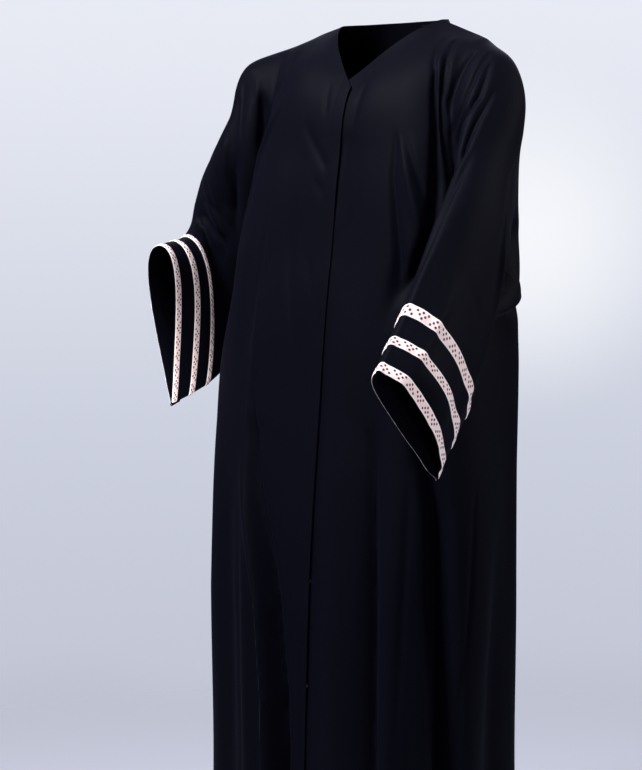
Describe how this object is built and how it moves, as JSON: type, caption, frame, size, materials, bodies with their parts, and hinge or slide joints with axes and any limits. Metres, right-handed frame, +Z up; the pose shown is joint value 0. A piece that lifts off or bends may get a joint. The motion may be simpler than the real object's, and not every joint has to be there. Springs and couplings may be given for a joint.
{
  "type": "abaya",
  "caption": "Long loose open-fronted abaya with a shallow V neck, hidden front fastening and wide bell sleeves with ribbon round the cuffs.",
  "frame": {"origin": "middle of the neck opening, level with the inner ends of the two shoulder seams, where the wearer's neck and shoulders hold the garment", "axes": "+Z up, -Y out of the wearer's front, +X towards the wearer's left"},
  "size_m": [0.6533, 0.4808, 1.4263],
  "materials": {
    "crepe": "matte",
    "ribbon": "matte",
    "stud": "satin"
  },
  "bodies": {
    "root": {"front_right": "crepe", "front_left": "crepe", "back": "crepe", "sleeve_right": "crepe", "sleeve_left": "crepe", "front_band": "crepe", "ribbon_right_cuff": "ribbon", "ribbon_right_middle": "ribbon", "ribbon_right_upper": "ribbon", "ribbon_left_cuff": "ribbon", "ribbon_left_middle": "ribbon", "ribbon_left_upper": "ribbon", "stud_upper": "stud", "stud_lower": "stud"}
  },
  "joints": []
}
